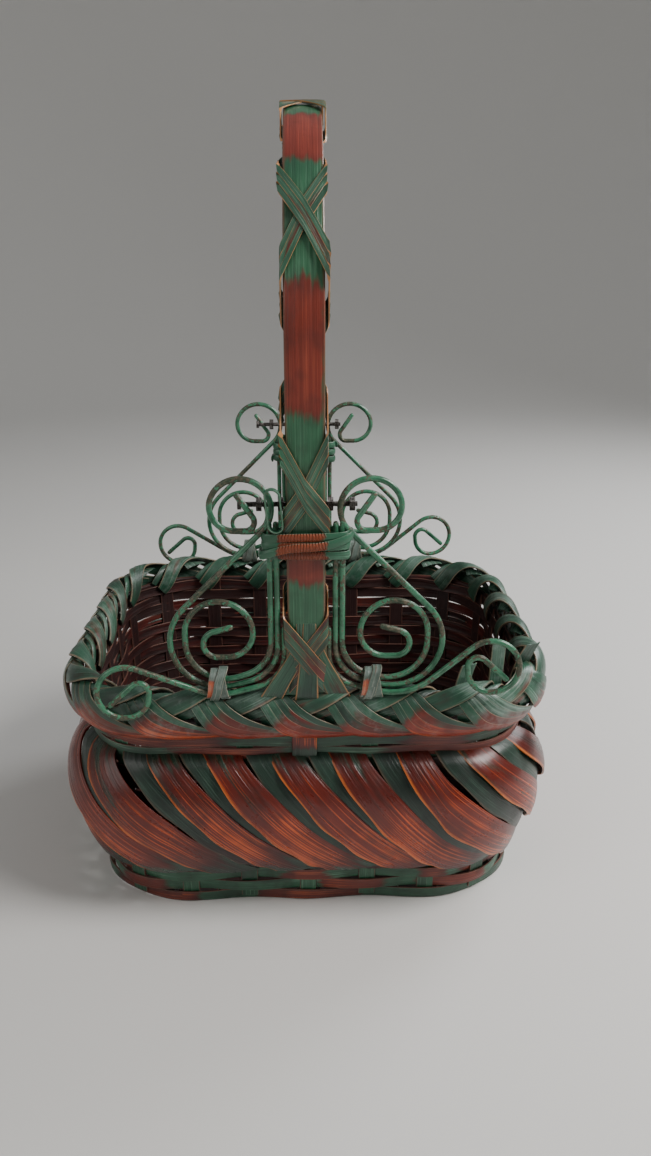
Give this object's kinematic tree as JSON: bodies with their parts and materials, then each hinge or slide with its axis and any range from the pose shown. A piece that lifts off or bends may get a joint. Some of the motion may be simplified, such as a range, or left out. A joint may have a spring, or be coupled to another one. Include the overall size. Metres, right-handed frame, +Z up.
{
  "type": "basket",
  "caption": "Painted split-bamboo basket with a swirled body, braided rim, fixed hoop handle and bent wire scrolls, in worn green and rust red.",
  "frame": {"origin": "on the ground under the middle of the basket, at the bottom centre of its bounding box", "axes": "+Z up, the longest extent; +X along the basket's long side, to the right as seen from the front; +Y towards the back, so the handle stands in the plane x = 0"},
  "size_m": [0.2806, 0.238, 0.4232],
  "materials": {
    "bamboo_green": "green stain under satin lacquer",
    "bamboo_red": "rust red stain under gloss lacquer, bare grain showing",
    "bamboo_dark": "dark red-brown stain, satin",
    "painted_wire": "worn green enamel",
    "bolt_steel": "dull, stained"
  },
  "bodies": {
    "root": {"floor_mat": "bamboo_dark", "cross_stakes": "bamboo_green", "long_stakes": "bamboo_green", "corner_stakes": "bamboo_green", "wall_lining": "bamboo_dark", "base_weaver_lower": "bamboo_green", "base_weaver_middle": "bamboo_green", "base_weaver_upper": "bamboo_green", "waist_weaver_lower": "bamboo_red", "waist_weaver_upper": "bamboo_red", "under_splints": "bamboo_green", "front_swirl_splints": "bamboo_red", "right_swirl_splints": "bamboo_red", "back_swirl_splints": "bamboo_red", "left_swirl_splints": "bamboo_red", "rim_hoop": "bamboo_dark", "rim_braid": "bamboo_green", "handle_strip": "bamboo_red", "handle_liner": "bamboo_green", "handle_wrap_left": "bamboo_green", "handle_wrap_right": "bamboo_green", "front_left_main_scroll": "painted_wire", "front_left_inner_scroll": "painted_wire", "front_left_outer_scroll": "painted_wire", "front_right_main_scroll": "painted_wire", "front_right_inner_scroll": "painted_wire", "front_right_outer_scroll": "painted_wire", "back_left_main_scroll": "painted_wire", "back_left_inner_scroll": "painted_wire", "back_left_outer_scroll": "painted_wire", "back_right_main_scroll": "painted_wire", "back_right_inner_scroll": "painted_wire", "back_right_outer_scroll": "painted_wire", "front_left_tie": "bamboo_green", "front_right_tie": "bamboo_green", "back_left_tie": "bamboo_green", "back_right_tie": "bamboo_green", "front_band": "bamboo_green", "back_band": "bamboo_green", "band_loop": "bamboo_green", "front_bolt": "bolt_steel", "back_bolt": "bolt_steel", "front_nuts": "bolt_steel", "back_nuts": "bolt_steel"}
  },
  "joints": []
}
